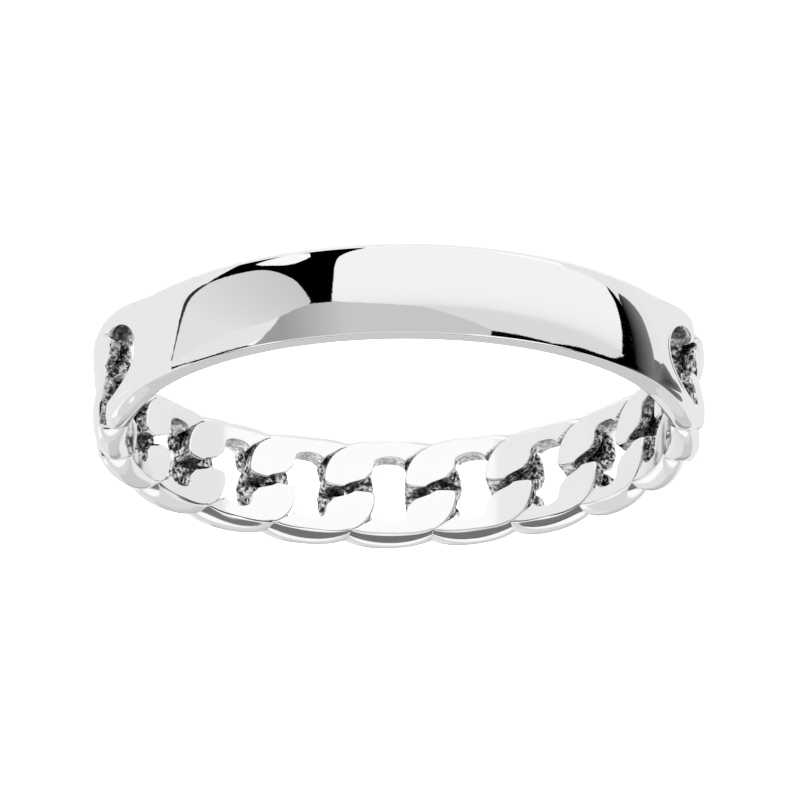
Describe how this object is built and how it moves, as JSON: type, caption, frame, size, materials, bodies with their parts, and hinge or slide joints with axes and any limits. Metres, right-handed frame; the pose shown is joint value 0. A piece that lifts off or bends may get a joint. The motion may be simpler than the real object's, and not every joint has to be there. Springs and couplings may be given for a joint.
{
  "type": "chain link ring",
  "caption": "Finger ring with a smooth domed plate across the front, joined round the back by interlocked curb chain links that are ground flush inside.",
  "frame": {"origin": "under the middle of the ring's outer box, on the surface that the ring lies on", "axes": "+Z along the finger hole, upwards as the ring lies on its side; -Y towards the middle of the plate, +Y towards the middle of the chain"},
  "size_m": [0.0194, 0.019, 0.0036],
  "materials": {
    "plate_metal": "mirror polished silver",
    "link_metal": "polished silver with rough cast crevices"
  },
  "bodies": {
    "root": {"id_plate": "plate_metal", "link_01": "link_metal", "link_02": "link_metal", "link_03": "link_metal", "link_04": "link_metal", "link_05": "link_metal", "link_06": "link_metal", "link_07": "link_metal", "link_08": "link_metal", "link_09": "link_metal", "link_10": "link_metal", "link_11": "link_metal"}
  },
  "joints": []
}
